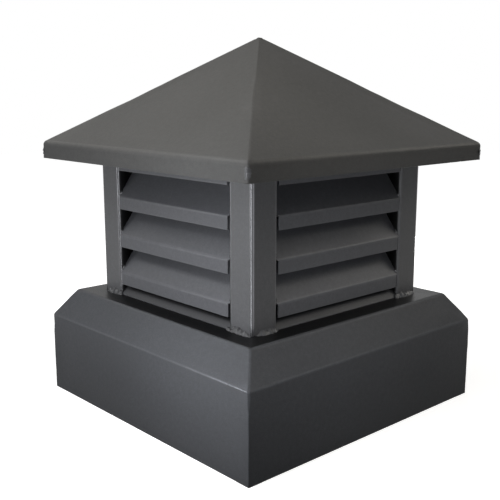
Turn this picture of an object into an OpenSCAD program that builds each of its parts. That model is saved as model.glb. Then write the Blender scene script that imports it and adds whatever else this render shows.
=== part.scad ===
// Louvred chimney cap of folded and welded sheet steel.
// Millimetres, +Z up, the axis of the flue on Z, the skirt's lower rim at Z = 0, front towards -Y.

/* [Base] */
// Outer width of the skirt that slips over the stack
base_w = 400; // [360:1:480]
// Height of the upright skirt
skirt_h = 105; // [60:1:150]
// How far the sloping shoulder leans in
shoulder_run = 25; // [15:1:40]
// Height of the sloping shoulder
shoulder_rise = 35; // [20:1:50]
// Width of the flat deck outside the posts
deck_margin = 28; // [15:1:45]
// How far the deck runs in past the outer faces of the posts
deck_ledge = 38; // [10:1:60]

/* [Sheet] */
// Thickness of the base and roof sheet
sheet_t = 2; // [1:0.5:3]
// Inside radius of the folds in the base and the blades
fold_r = 2; // [1:0.5:4]

/* [Posts] */
// Width of each leg of a folded corner post
post_leg = 38; // [36:1:50]
// How far each toe of a post folds back behind the ends of the blades
post_return = 30; // [15:1:33]
// Thickness of the post's sheet
post_t = 2; // [1:0.5:3]
// Inside radius of the post's folds
post_r = 1; // [1:0.5:4]

/* [Louvres] */
// Height from one louvre's fold to the next
louvre_pitch = 50; // [44:1:60]
// Thickness of the louvre sheet
blade_t = 2; // [1:0.5:3]
// How far a blade slopes in from its fold
blade_run = 30; // [22:1:34]
// How far a blade slopes up from its fold
blade_rise = 40; // [30:1:48]
// Height of the upright lip under each fold
lip_h = 16; // [10:1:24]
// Clear height between the deck and the lowest lip
lip_clear = 14.5; // [8:0.5:30]
// Gap between the end of a lip and the post beside it
lip_gap = 2.2; // [0.5:0.1:4]

/* [Roof] */
// How far the eaves stand out past the posts
eave_overhang = 55; // [30:1:80]
// How far the eaves hang below the fold of the top louvre
eave_drop = 2.5; // [0:0.5:12]
// Height of the fascia folded down round the roof
fascia_h = 21; // [12:1:35]
// Inside radius of the fold between the fascia and the slope
eave_r = 4.5; // [1:0.5:6]
// Height of the roof from the fascia's fold to its peak
roof_rise = 133; // [90:1:180]

/* [Hidden] */
SIDES = ["front", "right", "back", "left"];
CORNERS = ["front_right", "back_right", "back_left", "front_left"];
LIPPED = ["lower", "middle", "upper", "top"];

// Extra length that the mitre cuts take off
spare = 10;

// Flats that make up the curve of one fold
FOLD_STEPS = 8;

// Half widths, out from the axis of the flue
base_half = base_w / 2;
deck_half = base_half - shoulder_run;
cage_half = deck_half - deck_margin;
eave_half = cage_half + eave_overhang;

// Clear width between the toes of neighbouring posts
clear_w = 2 * (cage_half - post_leg);

// Heights above the skirt's rim
deck_z = skirt_h + shoulder_rise;
first_fold_z = deck_z + lip_clear + lip_h;
top_fold_z = first_fold_z + (len(LIPPED) - 1) * louvre_pitch;
eave_z = top_fold_z - eave_drop;
peak_z = eave_z + fascia_h + roof_rise;
roof_slope = roof_rise / eave_half;

// Outer faces of the folded sheets, as [distance out from the axis, height]
base_path = [
  [base_half, 0],
  [base_half, skirt_h],
  [deck_half, deck_z],
  [cage_half - deck_ledge, deck_z]
];
roof_path = [
  [eave_half, eave_z],
  [eave_half, eave_z + fascia_h],
  [-spare, peak_z + spare * roof_slope]
];

// Outer faces of a corner post in plan, from one return round both legs to the other
post_path = [
  [cage_half - post_leg, post_return - cage_half],
  [cage_half - post_leg, -cage_half],
  [cage_half, -cage_half],
  [cage_half, post_leg - cage_half],
  [cage_half - post_return, post_leg - cage_half]
];

// Outer face of a lipped blade with its fold at height z
function blade_path(z) = [
  [cage_half, z - lip_h],
  [cage_half, z],
  [cage_half - blade_run, z + blade_rise]
];

// Height of the roof's underside at a distance u out from the axis
function ceiling_z(u) = peak_z - roof_slope * u - sheet_t * sqrt(1 + pow(roof_slope, 2));

// Direction from one point to the next, a direction turned by an angle, and the turn between two
function heading(a, b) = (b - a) / norm(b - a);
function turned(d, angle) = [d.x * cos(angle) - d.y * sin(angle), d.x * sin(angle) + d.y * cos(angle)];
function turn(d, e) = acos(d * e);

// Points along the fold at point i of a path, at a depth below an outer face of fold radius r
function fold_arc(path, i, r, depth) =
  let (
    d = heading(path[i - 1], path[i]),
    bend = turn(d, heading(path[i], path[i + 1])),
    centre = path[i] - d * r * tan(bend / 2) + turned(d, 90) * r
  )
  [for (k = [0 : FOLD_STEPS]) centre + (r - depth) * turned(d, bend * k / FOLD_STEPS - 90)];

// Points along a folded sheet's section at a depth below its outer face
function sheet_face(path, r, depth) =
  let (
    last = len(path) - 1,
    start = turned(heading(path[0], path[1]), 90),
    finish = turned(heading(path[last - 1], path[last]), 90)
  )
  concat(
    [path[0] + start * depth],
    [for (i = [1 : last - 1]) each fold_arc(path, i, r, depth)],
    [path[last] + finish * depth]
  );

function reversed(list) = [for (i = [len(list) - 1 : -1 : 0]) list[i]];

// Section of a folded sheet of thickness t: the path is its outer face, the sheet lies to the left
// of it and every fold turns left round an inside radius r
module sheet_profile(path, t, r) {
  polygon(concat(sheet_face(path, r + t, 0), reversed(sheet_face(path, r + t, t))));
}

// Lays a section, drawn as [distance out from the axis, height], along the front side
module along_front(length) {
  rotate([90, 0, -90])
    linear_extrude(height = length, center = true)
      children();
}

// The front quarter of the plan, between the two mitre planes
module front_quarter(half) {
  translate([0, 0, -spare])
    linear_extrude(height = peak_z + 2 * spare)
      polygon([[0, 0], [-half, -half], [half, -half]]);
}

// Keeps what lies below the roof's front slope
module under_front_slope() {
  far = cage_half + spare;
  along_front(2 * far)
    polygon([[0, 0], [far, 0], [far, ceiling_z(far)], [0, ceiling_z(0)]]);
}

// Skirt, shoulder and deck of one side, folded from one sheet and mitred at both ends
module base_panel(side) {
  color([0.36, 0.365, 0.375])
    rotate(90 * side)
      intersection() {
        along_front(base_w + 2 * spare)
          sheet_profile(base_path, sheet_t, fold_r);
        front_quarter(base_half + spare);
      }
}

// Folded angle with returned toes that stands on the deck and is cut to the slope of the roof it carries
module corner_post(corner) {
  color([0.38, 0.38, 0.385])
    rotate(90 * corner)
      intersection() {
        translate([0, 0, deck_z])
          linear_extrude(height = peak_z - deck_z)
            sheet_profile(post_path, post_t, post_r);
        under_front_slope();
        rotate(90)
          under_front_slope();
      }
}

// Sloping blade between two posts, with a lip that stops short of them
module louvre_blade(side, level) {
  z = first_fold_z + level * louvre_pitch;
  color([0.34, 0.345, 0.36])
    rotate(90 * side)
      intersection() {
        difference() {
          along_front(clear_w)
            sheet_profile(blade_path(z), blade_t, fold_r);
          for (end = [-1, 1])
            lip_notch(end, z);
        }
        front_quarter(cage_half + spare);
      }
}

// Cut that sets one end of a lip back from its post
module lip_notch(end, z) {
  translate([end * clear_w / 2, -cage_half, z - lip_h / 2])
    cube([2 * lip_gap, 2 * blade_run, lip_h], center = true);
}

// Lowest blade of a side, without a lip, standing on the deck
module louvre_sill(side) {
  foot = blade_t * norm([blade_run, blade_rise]) / blade_rise;
  color([0.33, 0.335, 0.345])
    rotate(90 * side)
      intersection() {
        along_front(clear_w)
          polygon([
            [cage_half, deck_z],
            [cage_half - blade_run, deck_z + blade_rise],
            [cage_half - blade_run - foot, deck_z + blade_rise],
            [cage_half - foot, deck_z]
          ]);
        front_quarter(cage_half + spare);
      }
}

// One slope of the hipped roof with its folded fascia, mitred along both hips
module roof_panel(side) {
  color([0.38, 0.375, 0.365])
    rotate(90 * side)
      intersection() {
        along_front(2 * (eave_half + spare))
          sheet_profile(roof_path, sheet_t, eave_r);
        front_quarter(eave_half + spare);
      }
}

for (i = [0 : len(SIDES) - 1]) {
  base_panel(i);
  corner_post(i);
  louvre_sill(i);
  for (k = [0 : len(LIPPED) - 1])
    louvre_blade(i, k);
  roof_panel(i);
}
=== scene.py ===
"""Louvred chimney cap of folded and welded sheet steel with a satin graphite coat."""

import math

import bmesh
import bpy
from mathutils import Matrix, Vector, noise


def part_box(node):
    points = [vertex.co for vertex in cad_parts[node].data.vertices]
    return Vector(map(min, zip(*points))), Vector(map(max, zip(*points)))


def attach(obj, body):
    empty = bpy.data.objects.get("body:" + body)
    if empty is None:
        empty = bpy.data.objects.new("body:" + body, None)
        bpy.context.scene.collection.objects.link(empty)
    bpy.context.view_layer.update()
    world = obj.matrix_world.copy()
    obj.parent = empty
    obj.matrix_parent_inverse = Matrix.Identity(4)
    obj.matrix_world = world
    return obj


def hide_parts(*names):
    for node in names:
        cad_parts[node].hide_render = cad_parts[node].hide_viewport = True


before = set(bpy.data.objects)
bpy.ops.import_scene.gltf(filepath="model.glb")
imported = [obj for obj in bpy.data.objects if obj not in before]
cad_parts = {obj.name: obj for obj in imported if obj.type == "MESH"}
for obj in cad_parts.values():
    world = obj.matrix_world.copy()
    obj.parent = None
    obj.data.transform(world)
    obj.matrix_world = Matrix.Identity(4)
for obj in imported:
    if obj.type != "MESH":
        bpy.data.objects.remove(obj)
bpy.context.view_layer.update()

# Sides and the corners after them, one quarter turn apart
SIDES = ("front", "right", "back", "left")
CORNERS = ("front_right", "back_right", "back_left", "front_left")
LIPPED_BLADES = ("lower", "middle", "upper", "top")

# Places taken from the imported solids, in metres
base_low, base_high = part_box("base_panel_front")
post_low, post_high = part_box("corner_post_front_right")
roof_low, roof_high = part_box("roof_panel_front")
BASE_HALF = -base_low.y
FLUE_HALF = -base_high.y
DECK_Z = base_high.z
CAGE_HALF = post_high.x
TOE_X = post_low.x
EAVE_HALF = -roof_low.y
EAVE_Z = roof_low.z
PEAK_Z = roof_high.z

# Folded sheet, in metres; a fold's radius is that of its outer face
SHEET_T = 0.002
FOLD_R = 0.004
EAVE_FOLD_R = 0.0065
POST_FOLD_R = 0.003
SKIRT_H = 0.105
SHOULDER_RUN = 0.025
FASCIA_H = 0.021
POST_RETURN = 0.030
LIP_H = 0.016
LIP_GAP = 0.0022
BLADE_RUN = 0.030
BLADE_RISE = 0.040
APEX_OPEN = 0.004

DECK_HALF = BASE_HALF - SHOULDER_RUN
FOLD_Z = EAVE_Z + FASCIA_H
ROOF_SLOPE = (PEAK_Z - FOLD_Z) / EAVE_HALF
CEILING_Z = PEAK_Z - SHEET_T * math.hypot(1, ROOF_SLOPE)

# Meshing of the sheets
FOLD_SEGMENTS = 6
FLAT_STEP = 0.012
EDGE_LOOP = 0.0012
RIM_BEVEL = 0.0003
RIM_ANGLE = math.radians(55)
SIDE_STEPS = 24
POST_STEP = 0.02
POST_STEPS = 13

# Hips ground by hand: their facet's width as a share of the distance out, how uneven and how flat it is
BASE_HIP_SHARE = 0.011
ROOF_HIP_SHARE = 0.015
HIP_UNEVEN = 0.8
HIP_LUMPS_PER_METRE = 80.0
HIP_STEPS = 8
HIP_FACET = 0.7

# Share of the grinding left on the skirt below its fold, and where it fades out
SKIRT_GROUND = 0.3
GROUND_DROP = 0.027
GROUND_RUN = 0.015

# Grinding of the roof's hips, with one broad patch half way up
ROOF_GROUND = 0.6
PATCH_GROUND = 1.6
PATCH_DROP = 0.006
PATCH_REACH = 0.016

# Waves left in the flats by welding
BASE_WAVES = 0.0012
ROOF_WAVES = 0.0010
CALM_RUN = 0.030
WAVES_PER_METRE = 9.0

# Weld beads
BEAD_SIDES = 12
BEAD_STEP = 0.0011
BEAD_PITCH = 0.0031
LEAST_BEAD_CUTS = 6
LUMP_RUN = 0.006
PIT_RUN = 0.0025
DRIFT_RUN = 0.011
DRIFT_SHARE = 0.25
BLUNT_END = 0.08
TANGENT_SHARE = 0.02

# Patterns of the coat, how far their flecks and relief show, and the usual range of a noise
CLOUDS_PER_METRE = 6.0
SCUFFS_PER_METRE = 60.0
PEEL_PER_METRE = 190.0
GRAIN_PER_METRE = 900.0
FLECK_TONE = 0.7
PEEL_FLECKS = 0.4
GRAIN_FLECKS = 0.7
GRAIN_RELIEF = 0.6
RELIEF_STRENGTH = 0.22
RELIEF_DEPTH = 0.0004
ROUGHNESS_SPREAD = 0.04
NOISE_LOW = 0.3
NOISE_HIGH = 0.7

# Rubbed folds, lighter partly as wear and partly as painted highlight: their tone and shine, the bend that
# counts as one, and the share of each
RUBBED_HIGHLIGHT_TONE = 1.25
RUBBED_ROUGHNESS = 0.22
LEAST_RUB = 0.1
MOST_RUB = 0.5
RUBBED_BEND = math.radians(4)
UNRUBBED_RUN = 0.00375
# painted highlight along the skirt's front fold: how far from the right corner it runs and how it fades
PAINTED_HIGHLIGHT_RUN = 0.16
PAINTED_HIGHLIGHT_FADE = 1.5
SHOULDER_WEAR = 0.1
SKIRT_WEAR = 0.2
# painted highlight on the toes of the front side
FRONT_TOE_WEAR_AND_HIGHLIGHT = 0.8
TOE_WEAR = 0.3
EAVE_WEAR = 0.5
BLADE_WEAR = 0.7
FOOT_WELD_WEAR = 0.2
SEAM_WELD_WEAR = 0.3

# Painted shade, which darkens the coat where shade falls: its tone, the share from which it also turns the
# coat metallic, and the share of each place
PAINTED_SHADE_TONE = 0.15
PAINTED_SHADE_RUN = 0.0035
PAINTED_SHADE_METAL_FROM = 0.80
DECK_PAINTED_SHADE = 0.96
DECK_SHADE_INSET = 0.00208
RIM_PAINTED_SHADE = 0.42
SILL_PAINTED_SHADE = 0.50
SILL_SHADE_RISE = 0.008


# Coat

def noise_node(nodes, links, per_metre, detail):
    """Noise on object coordinates."""
    place = nodes.new("ShaderNodeTexCoord")
    node = nodes.new("ShaderNodeTexNoise")
    node.inputs["Scale"].default_value = per_metre
    node.inputs["Detail"].default_value = detail
    links.new(place.outputs["Object"], node.inputs["Vector"])
    return node.outputs["Fac"]


def spread(nodes, links, source, low, high):
    """Spreads a noise's usual range over low to high."""
    node = nodes.new("ShaderNodeMapRange")
    node.inputs["From Min"].default_value = NOISE_LOW
    node.inputs["From Max"].default_value = NOISE_HIGH
    node.inputs["To Min"].default_value = low
    node.inputs["To Max"].default_value = high
    links.new(source, node.inputs["Value"])
    return node.outputs["Result"]


def stored_share(nodes, name):
    """Share that a piece stores on its vertices."""
    node = nodes.new("ShaderNodeAttribute")
    node.attribute_name = name
    return node.outputs["Fac"]


def math_node(nodes, links, operation, *values):
    """Node that works with values; each is a number or the output of a node."""
    node = nodes.new("ShaderNodeMath")
    node.operation = operation
    for socket, value in zip(node.inputs, values):
        if isinstance(value, float):
            socket.default_value = value
        else:
            links.new(value, socket)
    return node


def mixed_colour(nodes, links, share, first, second):
    """Mix of two colours by a share; each is a colour or the output of a node."""
    node = nodes.new("ShaderNodeMix")
    node.data_type = "RGBA"
    links.new(share, node.inputs["Factor"])
    for socket, colour in ((node.inputs[6], first), (node.inputs[7], second)):
        if isinstance(colour, tuple):
            socket.default_value = (*colour, 1.0)
        else:
            links.new(colour, socket)
    return node.outputs[2]


def toned(colour, share):
    """A colour made darker or lighter."""
    return tuple(share * part for part in colour)


def graphite_coat(name, dark, pale, roughness, gloss, metal):
    """Satin baked coat: cloudy, grained, with slight orange peel, rubbed folds lighter partly as wear and
    partly as painted highlight, and painted shade that darkens it where shade falls.
    """
    material = bpy.data.materials.new(name)
    material.use_nodes = True
    nodes = material.node_tree.nodes
    links = material.node_tree.links
    shader = nodes["Principled BSDF"]
    cloud = noise_node(nodes, links, CLOUDS_PER_METRE, 3.0)
    peel = noise_node(nodes, links, PEEL_PER_METRE, 2.0)
    grain = noise_node(nodes, links, GRAIN_PER_METRE, 2.0)
    scuffs = noise_node(nodes, links, SCUFFS_PER_METRE, 4.0)
    wear_and_highlight = stored_share(nodes, "wear_and_highlight")
    painted_shade = stored_share(nodes, "painted_shade")

    colour = mixed_colour(nodes, links, spread(nodes, links, cloud, 0.0, 1.0), dark, pale)
    for pattern, flecks in ((peel, PEEL_FLECKS), (grain, GRAIN_FLECKS)):
        share = spread(nodes, links, pattern, flecks, 0.0)
        colour = mixed_colour(nodes, links, share, colour, toned(dark, FLECK_TONE))
    # rubbed folds are lighter, partly as wear and partly as painted highlight
    rub_and_highlight = math_node(nodes, links, "MULTIPLY", wear_and_highlight, spread(nodes, links, scuffs, LEAST_RUB, MOST_RUB))
    colour = mixed_colour(nodes, links, rub_and_highlight.outputs[0], colour, toned(pale, RUBBED_HIGHLIGHT_TONE))
    # painted shade: the coat is mixed towards a dark tone where shade falls
    colour = mixed_colour(nodes, links, painted_shade, colour, toned(dark, PAINTED_SHADE_TONE))
    links.new(colour, shader.inputs["Base Color"])

    # from this share of painted shade up the coat also turns metallic, so that it loses its diffuse light
    shade_metal = nodes.new("ShaderNodeMapRange")
    shade_metal.inputs["From Min"].default_value = PAINTED_SHADE_METAL_FROM
    links.new(painted_shade, shade_metal.inputs["Value"])
    wear_and_shade_metal = math_node(nodes, links, "MULTIPLY_ADD", wear_and_highlight, metal, shade_metal.outputs["Result"])
    wear_and_shade_metal.use_clamp = True
    links.new(wear_and_shade_metal.outputs[0], shader.inputs["Metallic"])

    satin = nodes.new("ShaderNodeMapRange")
    satin.inputs["To Max"].default_value = RUBBED_ROUGHNESS
    links.new(wear_and_highlight, satin.inputs["Value"])
    dull = spread(nodes, links, cloud, roughness - ROUGHNESS_SPREAD, roughness + ROUGHNESS_SPREAD)
    links.new(dull, satin.inputs["To Min"])
    links.new(satin.outputs["Result"], shader.inputs["Roughness"])
    shader.inputs["Specular IOR Level"].default_value = gloss

    skin = math_node(nodes, links, "ADD", peel, spread(nodes, links, grain, 0.0, GRAIN_RELIEF))
    relief = nodes.new("ShaderNodeBump")
    relief.inputs["Strength"].default_value = RELIEF_STRENGTH
    relief.inputs["Distance"].default_value = RELIEF_DEPTH
    links.new(skin.outputs[0], relief.inputs["Height"])
    links.new(relief.outputs["Normal"], shader.inputs["Normal"])
    return material


# Wear, painted highlight and painted shade

def evenly(share):
    """The same share all over a piece."""
    return lambda co: share


def off_mitre(co):
    """Nought along the mitred corners of a panel and one away from them."""
    to_mitre = abs(abs(co.x) - abs(co.y)) - 0.5 * BASE_HIP_SHARE * BASE_HALF
    return min(1.0, max(0.0, to_mitre / UNRUBBED_RUN))


def base_wear_and_highlight(co):
    """Wear of the base: slight on its folds, and a painted highlight on the skirt's fold along the front,
    brightest at its right corner.
    """
    if co.z > SKIRT_H + FOLD_R:
        return SHOULDER_WEAR * off_mitre(co)
    # painted highlight: only the skirt fold on the front side, brightening towards its right corner
    on_front = 1.0 if -co.y > abs(co.x) else 0.0
    to_corner = min(1.0, max(0.0, (BASE_HALF - co.x) / PAINTED_HIGHLIGHT_RUN))
    painted_highlight = on_front * (1 - to_corner) ** PAINTED_HIGHLIGHT_FADE
    return off_mitre(co) * (SKIRT_WEAR + (1 - SKIRT_WEAR) * painted_highlight)


def post_wear_and_highlight(co):
    """Wear and painted highlight of a post: full on its corner, less on a toe of the front side, which is
    lighter as painted highlight, and slight on the rest.
    """
    if abs(abs(co.x) - abs(co.y)) < 2 * POST_FOLD_R:
        return 1.0
    # painted highlight: the toes on the front side are lighter than those elsewhere
    return FRONT_TOE_WEAR_AND_HIGHLIGHT if co.y < 2 * POST_FOLD_R - CAGE_HALF else TOE_WEAR


def eave_wear_and_highlight(co):
    """Wear and painted highlight of the roof, along the folds of its eaves."""
    return EAVE_WEAR * off_mitre(co)


def base_painted_shade(co):
    """Painted shade of the base: dark on the deck inside its fold, where the eave shades it, and slight
    down the skirt, darker towards its rim.
    """
    # painted shade on the deck under the eave
    if max(abs(co.x), abs(co.y)) < DECK_HALF - DECK_SHADE_INSET:
        return DECK_PAINTED_SHADE
    # painted shade down the skirt, darker towards its rim
    return RIM_PAINTED_SHADE * (1 - co.z / SKIRT_H)


def post_painted_shade(co):
    """Painted shade of the front right post: from none on its outer faces to full inside its returns, where
    shade falls.
    """
    return (min(co.y + CAGE_HALF, CAGE_HALF - co.x) - 0.5 * SHEET_T) / PAINTED_SHADE_RUN


def sill_painted_shade(co):
    """Painted shade of a sill, for the shadow under the lip above it: slight along its foot and darker up
    to where the lower blade's lip hides it.
    """
    return SILL_PAINTED_SHADE * (1 + min(1.0, (co.z - DECK_Z) / SILL_SHADE_RISE))


def mark_wear_and_highlight(bm, share):
    """Stores where the coat is rubbed and lighter, partly as wear and partly as painted highlight: along
    folds and rims, as far as share(point) lets it.
    """
    wear_and_highlight = bm.verts.layers.float.new("wear_and_highlight")
    bm.normal_update()
    for vert in bm.verts:
        bends = [edge.calc_face_angle() for edge in vert.link_edges if edge.is_manifold]
        rubbed = min(1.0, max(bends, default=0.0) / RUBBED_BEND)
        vert[wear_and_highlight] = rubbed * share(vert.co)


def mark_painted_shade(bm, share):
    """Stores painted shade, where the sheet is darkened for the shade that falls there, as far as
    share(point) lets it.
    """
    painted_shade = bm.verts.layers.float.new("painted_shade")
    for vert in bm.verts:
        vert[painted_shade] = min(1.0, max(0.0, share(vert.co)))


# Folded sheets

def join_path(bm, points):
    """Open run of edges through points."""
    verts = [bm.verts.new(point) for point in points]
    for pair in zip(verts, verts[1:]):
        bm.edges.new(pair)
    return verts


def split_near(edge, end):
    """Splits an edge a loop's width from one end and returns the long part."""
    new_edge, _ = bmesh.utils.edge_split(edge, end, EDGE_LOOP / edge.calc_length())
    return max((edge, new_edge), key=lambda part: part.calc_length())


def fold_path(bm, points, radius):
    """Path through points with its inner corners folded round a radius, and loops along its flats."""
    verts = join_path(bm, points)
    for fold in verts[1:-1]:
        legs = [edge.other_vert(fold).co - fold.co for edge in fold.link_edges]
        bend = math.pi - legs[0].angle(legs[1])
        bmesh.ops.bevel(
            bm, geom=[fold], offset=radius * math.tan(bend / 2), offset_type="OFFSET",
            segments=FOLD_SEGMENTS, profile=0.5, affect="VERTICES", material=-1,
        )
    for flat in [edge for edge in bm.edges if edge.calc_length() > 4 * EDGE_LOOP]:
        middle = flat
        for end in flat.verts[:]:
            middle = split_near(middle, end)
        cuts = int(middle.calc_length() / FLAT_STEP)
        if cuts:
            bmesh.ops.subdivide_edges(bm, edges=[middle], cuts=cuts)


def sweep(bm, stations, place):
    """Extrudes the path from station to station; place sets a vertex for its station."""
    edges = bm.edges[:]
    for vert in bm.verts:
        place(vert, stations[0])
    for station in stations[1:]:
        grown = bmesh.ops.extrude_edge_only(bm, edges=edges)["geom"]
        row = {part for part in grown if isinstance(part, bmesh.types.BMVert)}
        new_edges = [part for part in grown if isinstance(part, bmesh.types.BMEdge)]
        edges = [edge for edge in new_edges if row.issuperset(edge.verts)]
        for vert in row:
            place(vert, station)
    bmesh.ops.recalc_face_normals(bm, faces=bm.faces[:])


def face_outwards(bm, inside):
    """Turns an open sheet so that its faces look away from a point."""
    bm.normal_update()
    looks_out = 0.0
    for face in bm.faces:
        looks_out += (face.calc_center_median() - inside).dot(face.normal) * face.calc_area()
    if looks_out < 0:
        bmesh.ops.reverse_faces(bm, faces=bm.faces[:])
        bm.normal_update()


def side_stations(end_loop):
    """Shares of a side's half width: even along it, closer at both ends."""
    inner = 1 - 2 * end_loop
    middle = [inner * (2 * k / SIDE_STEPS - 1) for k in range(SIDE_STEPS + 1)]
    ends = [1 - end_loop * k / HIP_STEPS for k in range(HIP_STEPS + 1)]
    return [-share for share in ends] + middle + ends[::-1]


def ripple(bm, folds, depth, seed):
    """Gives the flats the slight waves of welded sheet, fading to none at folds, rims and mitres."""
    bm.normal_update()
    shift = Vector((seed, 0.37 * seed, 0))
    for vert in bm.verts:
        out = -vert.co.y
        to_fold = min(math.hypot(out - fold[0], vert.co.z - fold[1]) for fold in folds)
        to_mitre = out - abs(vert.co.x)
        calm = min(1.0, to_fold / CALM_RUN) * min(1.0, max(0.0, to_mitre) / CALM_RUN)
        vert.co += vert.normal * depth * calm * noise.noise(WAVES_PER_METRE * vert.co + shift)


def base_ground(height):
    """How far the base's hips are ground: fully round the shoulder, hardly on the skirt below."""
    full = min(1.0, max(0.0, (height - SKIRT_H + GROUND_DROP) / GROUND_RUN))
    return SKIRT_GROUND + (1 - SKIRT_GROUND) * full


def roof_ground(height):
    """How far the roof's hips are ground: most in one patch half way up."""
    from_patch = (height - 0.5 * (FOLD_Z + PEAK_Z) + PATCH_DROP) / PATCH_REACH
    return ROOF_GROUND + PATCH_GROUND * math.exp(-from_patch ** 2)


def round_hips(bm, side, share, ground):
    """Rounds both mitred ends unevenly, so that neighbouring panels meet along the ground hip."""
    for vert in bm.verts:
        out = -vert.co.y
        corner = side if vert.co.x > 0 else side - 1
        lump = noise.noise(Vector((HIP_LUMPS_PER_METRE * vert.co.z, 7.3 * (corner % 4), 0)))
        radius = share * out * (1 + HIP_UNEVEN * lump) * ground(vert.co.z)
        gap = out - abs(vert.co.x)
        if gap < radius:
            into_hip = 1 - max(0.0, gap) / radius
            turn = into_hip * math.pi / 4
            centre = out - radius
            facet = 0.5 * radius * into_hip
            round_x = radius * math.sin(turn)
            round_y = radius * math.cos(turn)
            vert.co.x = math.copysign(centre + round_x + HIP_FACET * (facet - round_x), vert.co.x)
            vert.co.y = -(centre + round_y + HIP_FACET * (radius - facet - round_y))


def thicken(bm, is_rim):
    """Gives an open sheet its thickness on the inside and breaks its sheared rims."""
    bmesh.ops.solidify(bm, geom=bm.faces[:], thickness=SHEET_T)
    bm.normal_update()
    sharp = [edge for edge in bm.edges if edge.is_manifold and edge.calc_face_angle() > RIM_ANGLE]
    rims = [edge for edge in sharp if all(is_rim(vert.co) for vert in edge.verts)]
    bmesh.ops.bevel(
        bm, geom=rims, offset=RIM_BEVEL, offset_type="OFFSET",
        segments=2, profile=0.5, affect="EDGES", material=-1, clamp_overlap=True,
    )


def turn_to_side(bm, side):
    """Turns what was made for the front, or its right corner, to another side."""
    bm.transform(Matrix.Rotation(side * math.pi / 2, 4, "Z"))


def add_piece(name, bm, material, slot, *nodes, wear_and_highlight_share=evenly(1.0)):
    """Turns a bmesh into a finished piece that rides on the cap and stands for its nodes."""
    mark_wear_and_highlight(bm, wear_and_highlight_share)
    for face in bm.faces:
        face.smooth = True
    mesh = bpy.data.meshes.new(name)
    bm.to_mesh(mesh)
    bm.free()
    mesh.materials.append(material)
    piece = bpy.data.objects.new(name, mesh)
    bpy.context.scene.collection.objects.link(piece)
    normals = piece.modifiers.new("flat_faces", "WEIGHTED_NORMAL")
    normals.keep_sharp = True
    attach(piece, "root")
    if nodes:
        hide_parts(*nodes)


def mitred_panel(corners, radius, hip_share, ground, side, waves, seed):
    """Folded panel, mitred at both ends, from (distance out, height) corners."""
    bm = bmesh.new()
    fold_path(bm, [(0, -out, up) for out, up in corners], radius)

    def place(vert, station):
        vert.co.x = -station * vert.co.y

    def off_hip(co):
        return abs(abs(co.x) + co.y) > 3 * SHEET_T

    sweep(bm, side_stations(hip_share), place)
    face_outwards(bm, Vector((0, 0, -BASE_HALF)))
    ripple(bm, corners, waves, seed + side)
    round_hips(bm, side, hip_share, ground)
    thicken(bm, off_hip)
    turn_to_side(bm, side)
    return bm


def base_sheet(side):
    """Skirt, shoulder and deck of one side."""
    corners = [(BASE_HALF, 0), (BASE_HALF, SKIRT_H), (DECK_HALF, DECK_Z), (FLUE_HALF, DECK_Z)]
    bm = mitred_panel(corners, FOLD_R, BASE_HIP_SHARE, base_ground, side, BASE_WAVES, seed=3.1)
    mark_painted_shade(bm, base_painted_shade)
    node = f"base_panel_{SIDES[side]}"
    add_piece(f"base_sheet_{SIDES[side]}", bm, base_coat, "base_coat", node, wear_and_highlight_share=base_wear_and_highlight)


def roof_sheet(side):
    """One slope of the roof with its fascia."""
    top = (APEX_OPEN, PEAK_Z - ROOF_SLOPE * APEX_OPEN)
    corners = [(EAVE_HALF, EAVE_Z), (EAVE_HALF, FOLD_Z), top]
    bm = mitred_panel(corners, EAVE_FOLD_R, ROOF_HIP_SHARE, roof_ground, side, ROOF_WAVES, seed=11.7)
    node = f"roof_panel_{SIDES[side]}"
    add_piece(f"roof_sheet_{SIDES[side]}", bm, roof_coat, "roof_coat", node, wear_and_highlight_share=eave_wear_and_highlight)


def post_sheet(corner):
    """Folded corner post with returned toes, cut to the roof's two slopes."""
    back = CAGE_HALF - POST_RETURN
    within = CAGE_HALF - 2 * POST_FOLD_R
    plan = [
        (TOE_X, -back),
        (TOE_X, -CAGE_HALF),
        (CAGE_HALF, -CAGE_HALF),
        (CAGE_HALF, -TOE_X),
        (back, -TOE_X),
    ]
    bm = bmesh.new()
    fold_path(bm, [(x, y, DECK_Z) for x, y in plan], POST_FOLD_R)
    heights = [DECK_Z, DECK_Z + EDGE_LOOP]
    heights += [DECK_Z + POST_STEP * k for k in range(1, POST_STEPS + 1)]

    def place(vert, height):
        vert.co.z = height

    sweep(bm, heights, place)
    for slope in (Vector((0, -ROOF_SLOPE, 1)), Vector((ROOF_SLOPE, 0, 1))):
        parts = bm.verts[:] + bm.edges[:] + bm.faces[:]
        bmesh.ops.bisect_plane(
            bm, geom=parts, plane_co=(0, 0, CEILING_Z), plane_no=slope, clear_outer=True,
        )
    face_outwards(bm, Vector((within, -within, DECK_Z)))
    thicken(bm, lambda co: co.z < EAVE_Z)
    # painted shade inside the post's returns
    mark_painted_shade(bm, post_painted_shade)
    turn_to_side(bm, corner)
    node = f"corner_post_{CORNERS[corner]}"
    add_piece(f"post_{CORNERS[corner]}", bm, post_coat, "post_coat", node, wear_and_highlight_share=post_wear_and_highlight)


def blade_node(side, level):
    """Name of a lipped blade's solid."""
    return f"louvre_{SIDES[side]}_{level}"


def blade_fold_z(side, level):
    """Height of a lipped blade's fold."""
    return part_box(blade_node(side, level))[0].z + LIP_H


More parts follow.
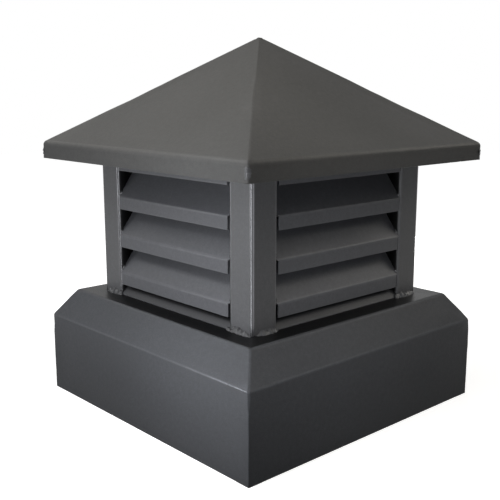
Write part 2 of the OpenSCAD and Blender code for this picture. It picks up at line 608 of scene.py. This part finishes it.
def blade_sheet(side, level):
    """Lipped louvre blade; the top one has painted shade towards its upper edge, for the eave's shadow."""
    fold_z = blade_fold_z(side, level)
    rear = (CAGE_HALF - BLADE_RUN, fold_z + BLADE_RISE)
    corners = [(CAGE_HALF, fold_z - LIP_H), (CAGE_HALF, fold_z), rear]
    bm = bmesh.new()
    fold_path(bm, [(0, -out, up) for out, up in corners], FOLD_R)

    def place(vert, station):
        half = TOE_X if vert.co.z > fold_z else TOE_X - LIP_GAP
        vert.co.x = station * half

    sweep(bm, side_stations(EDGE_LOOP / TOE_X), place)
    face_outwards(bm, Vector((0, 0, fold_z - BLADE_RISE)))
    thicken(bm, lambda co: True)
    # painted shade on the top blade, darker towards its upper edge
    if level == "top":
        mark_painted_shade(bm, lambda co: (co.z - fold_z) / BLADE_RISE)
    turn_to_side(bm, side)
    name = f"blade_{SIDES[side]}_{level}"
    add_piece(name, bm, louvre_coat, "louvre_coat", blade_node(side, level), wear_and_highlight_share=evenly(BLADE_WEAR))


def sill_sheet(side):
    """Lowest blade, without a lip, standing on the deck."""
    corners = [(CAGE_HALF, DECK_Z), (CAGE_HALF - BLADE_RUN, DECK_Z + BLADE_RISE)]
    bm = bmesh.new()
    fold_path(bm, [(0, -out, up) for out, up in corners], FOLD_R)

    def place(vert, station):
        vert.co.x = station * TOE_X

    sweep(bm, side_stations(EDGE_LOOP / TOE_X), place)
    face_outwards(bm, Vector((0, 0, DECK_Z - BLADE_RISE)))
    thicken(bm, lambda co: co.z > DECK_Z + SHEET_T)
    # painted shade on the sill, for the shadow under the lip above
    mark_painted_shade(bm, sill_painted_shade)
    turn_to_side(bm, side)
    add_piece(f"sill_{SIDES[side]}", bm, louvre_coat, "louvre_coat", f"louvre_{SIDES[side]}_sill")


# Welds

def along(route, share):
    """Point at a share of a route's length."""
    legs = list(zip(route, route[1:]))
    left = share * sum((end - start).length for start, end in legs)
    for start, end in legs:
        length = (end - start).length
        if left <= length:
            return start.lerp(end, left / length)
        left -= length
    return route[-1].copy()


def weld_bead(bm, route, outward, seed, half_width, half_height, under, lumps, ripples):
    """Adds a closed bead along a route: rippled, lumpy, narrow at both ends and flatter underneath."""
    length = sum((end - start).length for start, end in zip(route, route[1:]))
    first = len(bm.verts)
    tube = bmesh.ops.create_cone(
        bm, cap_ends=True, segments=BEAD_SIDES, radius1=1, radius2=1, depth=1,
    )["verts"]
    lower = [vert for vert in tube if vert.co.z < 0]
    rails = [edge for vert in lower for edge in vert.link_edges if edge.other_vert(vert).co.z > 0]
    bmesh.ops.subdivide_edges(bm, edges=rails, cuts=max(LEAST_BEAD_CUTS, int(length / BEAD_STEP)))
    bm.verts.ensure_lookup_table()
    for vert in bm.verts[first:]:
        share = vert.co.z + 0.5
        run = share * length
        before = along(route, max(0, share - TANGENT_SHARE))
        after = along(route, min(1, share + TANGENT_SHARE))
        across = (after - before).normalized().cross(outward).normalized()
        taper = math.sqrt(min(1.0, BLUNT_END + min(run, length - run) / (2 * half_width)))
        swell = 1 + lumps * noise.noise(Vector((run / LUMP_RUN, seed, 0)))
        swell *= 1 + ripples * math.sin(2 * math.pi * run / BEAD_PITCH + seed)
        pit = 1 + lumps * noise.noise(Vector((vert.co.x + seed, vert.co.y, run / PIT_RUN)))
        reach = taper * swell * pit
        lift = half_height if vert.co.y > 0 else half_height * under
        drift = DRIFT_SHARE * half_width * noise.noise(Vector((run / DRIFT_RUN, 0, seed)))
        aside = across * (vert.co.x * half_width * reach + drift)
        vert.co = along(route, share) + aside + outward * (vert.co.y * lift * reach)


def foot_welds(corner):
    """Fillet welds round the outside of a post's foot, open at the corner where the two runs meet."""
    front_size = 0.0074
    right_size = 0.0066
    past_toe = 0.004
    front_short = 0.0015
    right_short = 0.0070
    toe_short = 0.002
    front = (
        Vector((TOE_X - past_toe, -CAGE_HALF, DECK_Z)),
        Vector((CAGE_HALF - front_short, -CAGE_HALF, DECK_Z)),
    )
    right = (
        Vector((CAGE_HALF, right_short - CAGE_HALF, DECK_Z)),
        Vector((CAGE_HALF, toe_short - TOE_X, DECK_Z)),
    )
    runs = ((front, Vector((0, -1, 0.8)), front_size), (right, Vector((1, 0, 0.8)), right_size))
    bm = bmesh.new()
    for count, (route, outward, size) in enumerate(runs):
        weld_bead(
            bm, route, outward.normalized(), 5.3 * corner + 2.1 * count,
            half_width=size, half_height=0.6 * size, under=0.5, lumps=0.50, ripples=0.05,
        )
    turn_to_side(bm, corner)
    name = f"foot_weld_{CORNERS[corner]}"
    add_piece(name, bm, weld_coat, "post_coat", wear_and_highlight_share=evenly(FOOT_WELD_WEAR))


def hip_weld(corner):
    """End of the hip's weld, left proud at the top of the base's shoulder."""
    outward = Vector((0.8, -1, 0.6)).normalized()
    top = Vector((DECK_HALF, -DECK_HALF, DECK_Z))
    down_hip = Vector((SHOULDER_RUN, -SHOULDER_RUN, SKIRT_H - DECK_Z))
    sunk = Vector((0.0024, -0.0012, 0)) + 0.0016 * outward
    route = [top + share * down_hip - sunk for share in (0.06, 0.36)]
    bm = bmesh.new()
    weld_bead(
        bm, route, outward, 3.7 + 1.9 * corner,
        half_width=0.0024, half_height=0.0022, under=0.5, lumps=0.35, ripples=0.0,
    )
    turn_to_side(bm, corner)
    name = f"hip_weld_{CORNERS[corner]}"
    add_piece(name, bm, base_coat, "base_coat", wear_and_highlight_share=evenly(SEAM_WELD_WEAR))


def eave_weld(corner):
    """Weld left proud down the corner of the fascia."""
    rim_gap = 0.0005
    fold_gap = 0.003
    outward = Vector((0.5, -1, 0)).normalized()
    sunk = Vector((0.0020, -0.0004, 0)) + 0.0010 * outward
    edge = Vector((EAVE_HALF, -EAVE_HALF, 0)) - sunk
    route = [edge + Vector((0, 0, up)) for up in (EAVE_Z + rim_gap, FOLD_Z - fold_gap)]
    bm = bmesh.new()
    weld_bead(
        bm, route, outward, 8.2 + 2.7 * corner,
        half_width=0.0036, half_height=0.0018, under=0.5, lumps=0.45, ripples=0.0,
    )
    turn_to_side(bm, corner)
    name = f"eave_weld_{CORNERS[corner]}"
    add_piece(name, bm, weld_coat, "roof_coat", wear_and_highlight_share=evenly(SEAM_WELD_WEAR))


def blade_tacks(side):
    """Tacks of uneven length that hold both ends of each blade to the posts, just above its fold."""
    overlap = 0.0004
    above_fold = 0.003
    length = 0.008
    uneven = 0.003
    slope = Vector((0, BLADE_RUN, BLADE_RISE)).normalized()
    bm = bmesh.new()
    for count, level in enumerate(LIPPED_BLADES):
        fold_z = blade_fold_z(side, level)
        for end in (-1, 1):
            seed = 4.1 * side + 1.7 * count + 0.6 * end
            start = Vector((end * (TOE_X - overlap), -CAGE_HALF, fold_z)) + above_fold * slope
            finish = start + (length + uneven * math.sin(9 * seed)) * slope
            weld_bead(
                bm, [start, finish], Vector((-end, -0.8, 0.6)).normalized(), seed,
                half_width=0.0026, half_height=0.0021, under=0.6, lumps=0.3, ripples=0.1,
            )
    turn_to_side(bm, side)
    add_piece(f"blade_tacks_{SIDES[side]}", bm, weld_coat, "louvre_coat")


def peak_weld():
    """Ground blob that closes the peak where the four slopes meet."""
    wide = 1.45 * APEX_OPEN
    tall = 0.0042
    uneven = 0.12
    below_peak = 1.15 * tall
    bm = bmesh.new()
    bmesh.ops.create_icosphere(bm, subdivisions=3, radius=1.0)
    for vert in bm.verts:
        lump = 1 + uneven * noise.noise(2.2 * vert.co)
        vert.co = Vector((wide * vert.co.x, wide * vert.co.y, tall * vert.co.z)) * lump
    bmesh.ops.translate(bm, verts=bm.verts[:], vec=(0, 0, PEAK_Z - below_peak))
    add_piece("peak_weld", bm, roof_coat, "roof_coat")


# Studio

def shown_rays(nodes, links):
    """One for rays from the camera, a reflection or a transmission, and nought for the rest."""
    path = nodes.new("ShaderNodeLightPath")
    total = path.outputs["Is Camera Ray"]
    for name in ("Is Glossy Ray", "Is Transmission Ray"):
        larger = nodes.new("ShaderNodeMath")
        larger.operation = "MAXIMUM"
        links.new(total, larger.inputs[0])
        links.new(path.outputs[name], larger.inputs[1])
        total = larger.outputs[0]
    return total


def choose_by_ray(nodes, links, unseen, shown, output):
    """Gives the output one shader for rays that show it and another for the rest."""
    choice = nodes.new("ShaderNodeMixShader")
    links.new(shown_rays(nodes, links), choice.inputs["Fac"])
    links.new(unseen.outputs[0], choice.inputs[1])
    links.new(shown.outputs[0], choice.inputs[2])
    links.new(choice.outputs[0], nodes.new(output).inputs["Surface"])


def matt(nodes, level):
    """Plain matt grey."""
    node = nodes.new("ShaderNodeBsdfDiffuse")
    node.inputs["Color"].default_value = (level, level, level, 1)
    return node


def pale_floor():
    """Plain pale floor that keeps the cap's shadow, has a painted shadow where its glow dims near the cap,
    and turns white away from it.
    """
    half = 4.0
    pale = 0.7
    unseen = 0.06
    painted_shadow_glow = 0.72
    bm = bmesh.new()
    bmesh.ops.create_grid(bm, x_segments=1, y_segments=1, size=half)
    mesh = bpy.data.meshes.new("floor")
    bm.to_mesh(mesh)
    bm.free()
    floor = bpy.data.objects.new("floor", mesh)
    bpy.context.scene.collection.objects.link(floor)
    material = bpy.data.materials.new("pale_floor")
    material.use_nodes = True
    nodes = material.node_tree.nodes
    links = material.node_tree.links
    nodes.clear()
    place = nodes.new("ShaderNodeTexCoord")
    reach = nodes.new("ShaderNodeVectorMath")
    reach.operation = "LENGTH"
    links.new(place.outputs["Object"], reach.inputs[0])
    # painted shadow: the floor's glow is dimmer near the cap and rises to white further out
    fade = nodes.new("ShaderNodeMapRange")
    fade.interpolation_type = "SMOOTHSTEP"
    fade.inputs["From Min"].default_value = BASE_HALF
    fade.inputs["From Max"].default_value = 5 * BASE_HALF
    fade.inputs["To Min"].default_value = painted_shadow_glow
    links.new(reach.outputs["Value"], fade.inputs["Value"])
    glow = nodes.new("ShaderNodeEmission")
    links.new(fade.outputs["Result"], glow.inputs["Strength"])
    white = nodes.new("ShaderNodeAddShader")
    links.new(matt(nodes, pale).outputs[0], white.inputs[0])
    links.new(glow.outputs[0], white.inputs[1])
    choose_by_ray(nodes, links, matt(nodes, unseen), white, "ShaderNodeOutputMaterial")
    mesh.materials.append(material)


def plain_sky(nodes, strength):
    """Even white surroundings."""
    node = nodes.new("ShaderNodeBackground")
    node.inputs["Color"].default_value = (1, 1, 1, 1)
    node.inputs["Strength"].default_value = strength
    return node


def studio_world(ambient):
    """White surroundings for what shows them, and a low even light for the rest."""
    world = bpy.data.worlds.new("studio")
    bpy.context.scene.world = world
    world.use_nodes = True
    nodes = world.node_tree.nodes
    links = world.node_tree.links
    nodes.clear()
    choose_by_ray(nodes, links, plain_sky(nodes, ambient), plain_sky(nodes, 1.0), "ShaderNodeOutputWorld")


def soft_box(name, place, target, size, power, colour):
    """Studio light of a width and height, turned towards a point."""
    light = bpy.data.lights.new(name, "AREA")
    light.shape = "RECTANGLE"
    light.size = size[0]
    light.size_y = size[1]
    light.energy = power
    light.color = colour
    lamp = bpy.data.objects.new(name, light)
    lamp.visible_camera = False
    lamp.location = place
    lamp.rotation_euler = (Vector(target) - Vector(place)).to_track_quat("-Z", "Y").to_euler()
    bpy.context.scene.collection.objects.link(lamp)


def photo_camera():
    """Camera at the photograph's viewing angle."""
    azimuth = math.radians(47.694)
    elevation = math.radians(11.348)
    distance = 1.115
    pan_right = -0.01194
    pan_up = 0.19249
    turn = Matrix.Rotation(azimuth, 4, "Z") @ Matrix.Rotation(math.pi / 2 - elevation, 4, "X")
    data = bpy.data.cameras.new("photo_camera")
    data.sensor_width = 36.0
    data.lens = 58.0
    camera = bpy.data.objects.new("photo_camera", data)
    camera.matrix_world = turn @ Matrix.Translation((pan_right, pan_up, distance))
    bpy.context.scene.collection.objects.link(camera)
    bpy.context.scene.camera = camera


# The cap: each coat's dark and pale tone, roughness, gloss and share of bare metal on rubbed folds
base_coat = graphite_coat(
    "base_graphite", (0.071, 0.074, 0.080), (0.080, 0.083, 0.091), roughness=0.42, gloss=0.035, metal=0.85,
)
post_coat = graphite_coat(
    "post_graphite", (0.078, 0.079, 0.083), (0.088, 0.089, 0.094), roughness=0.40, gloss=0.14, metal=0.80,
)
louvre_coat = graphite_coat(
    "louvre_graphite", (0.081, 0.083, 0.091), (0.095, 0.097, 0.106), roughness=0.44, gloss=0.12, metal=0.03,
)
roof_coat = graphite_coat(
    "roof_graphite", (0.062, 0.062, 0.061), (0.071, 0.071, 0.070), roughness=0.46, gloss=0.05, metal=0.0,
)
weld_coat = graphite_coat(
    "weld_graphite", (0.050, 0.051, 0.054), (0.074, 0.075, 0.079), roughness=0.34, gloss=0.20, metal=0.60,
)

for quarter in range(4):
    base_sheet(quarter)
    post_sheet(quarter)
    sill_sheet(quarter)
    for blade in LIPPED_BLADES:
        blade_sheet(quarter, blade)
    roof_sheet(quarter)
    foot_welds(quarter)
    hip_weld(quarter)
    eave_weld(quarter)
    blade_tacks(quarter)
peak_weld()

# Floor, light and camera
pale_floor()
studio_world(0.02)
middle = (0, 0, 0.25)
low = (0, 0, 0.07)
cool = (0.97, 0.98, 1.0)
warm = (1.0, 0.95, 0.86)
soft_box("level_light", (-0.75, -1.02, 0.16), middle, (0.18, 0.18), 2.5, cool)
soft_box("fold_light", (-0.82, -0.98, 0.45), middle, (0.30, 0.10), 1.0, cool)
soft_box("high_light", (-0.75, -0.80, 1.15), middle, (0.45, 0.45), 8.6, cool)
soft_box("left_light", (-1.00, -0.30, 0.95), middle, (0.80, 0.80), 1.9, warm)
soft_box("left_corner_light", (0.165, -0.42, 0.20), middle, (0.07, 0.32), 0.98, cool)
soft_box("right_corner_light", (0.45, -0.09, 0.20), middle, (0.25, 0.25), 0.30, cool)
soft_box("left_eave_light", (0.18, -0.35, 0.42), middle, (0.10, 0.10), 0.18, cool)
soft_box("left_roof_light", (0.05, -0.245, 0.64), middle, (0.15, 0.15), 0.58, warm)
soft_box("right_roof_light", (0.30, -0.12, 0.52), middle, (0.12, 0.12), 0.16, warm)
soft_box("back_light", (0.70, 1.00, 1.10), middle, (0.80, 0.80), 8.1, warm)
soft_box("rear_light", (-0.60, 1.10, 0.07), low, (0.60, 0.12), 7.0, cool)
photo_camera()
bpy.context.scene.view_settings.view_transform = "Standard"
